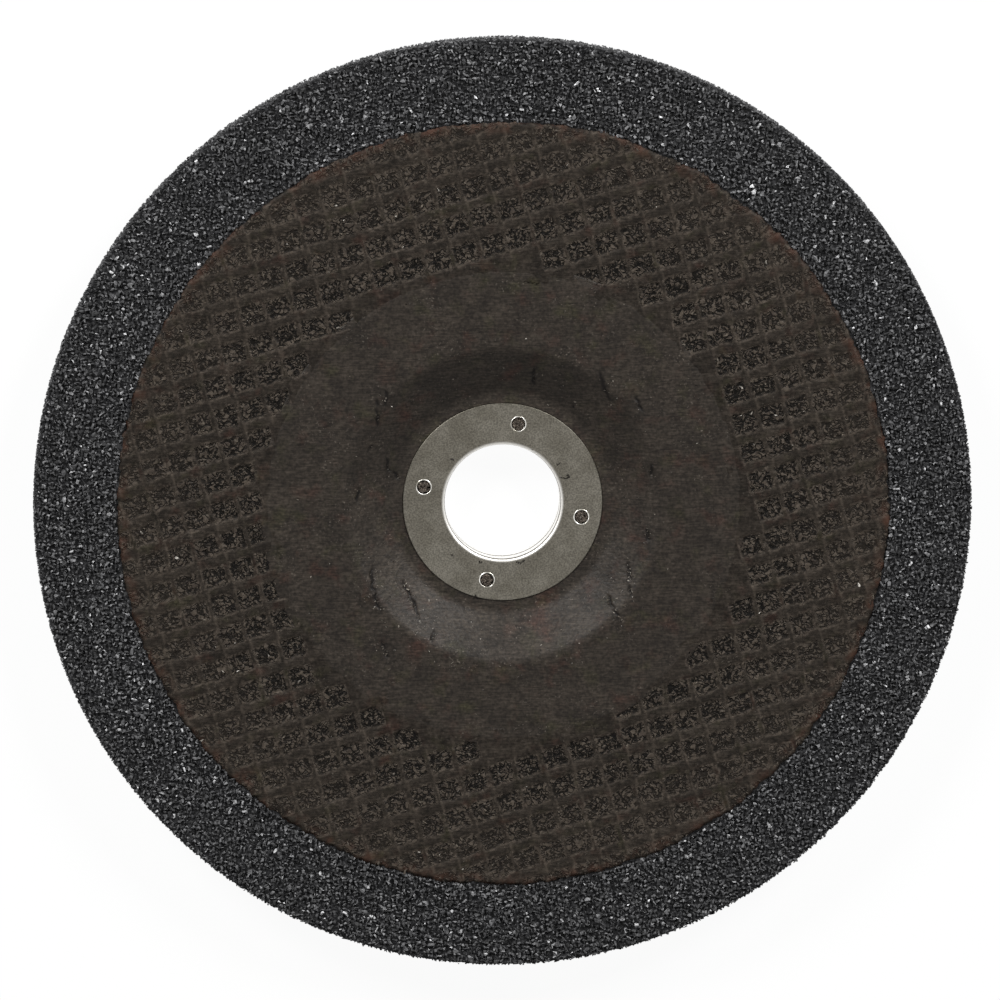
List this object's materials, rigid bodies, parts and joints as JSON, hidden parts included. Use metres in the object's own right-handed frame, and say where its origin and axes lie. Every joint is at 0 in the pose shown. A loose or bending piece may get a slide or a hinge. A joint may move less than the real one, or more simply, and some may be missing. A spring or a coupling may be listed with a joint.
{
  "type": "grinding disc",
  "caption": "Depressed-centre grinding disc for an angle grinder: gritty resin-bonded wheel, glass-fibre mesh pressed into the working face, smooth dished hub and a pressed steel centre ring.",
  "frame": {"origin": "on the bore axis, in the plane of the raised hub's back face", "axes": "+Z along the bore axis, out of the recessed working face; +Y towards the upper side as pictured"},
  "size_m": [0.18, 0.18, 0.0106],
  "materials": {
    "bonded_abrasive": "coarse",
    "resin_glass_cloth": "resin-soaked",
    "resin_sheet": "satin",
    "pressed_steel": "dull"
  },
  "bodies": {
    "root": {"abrasive_wheel": "bonded_abrasive", "glass_fibre_mesh": "resin_glass_cloth", "hub_reinforcement_disc": "resin_sheet", "centre_ring": "pressed_steel"}
  },
  "joints": []
}
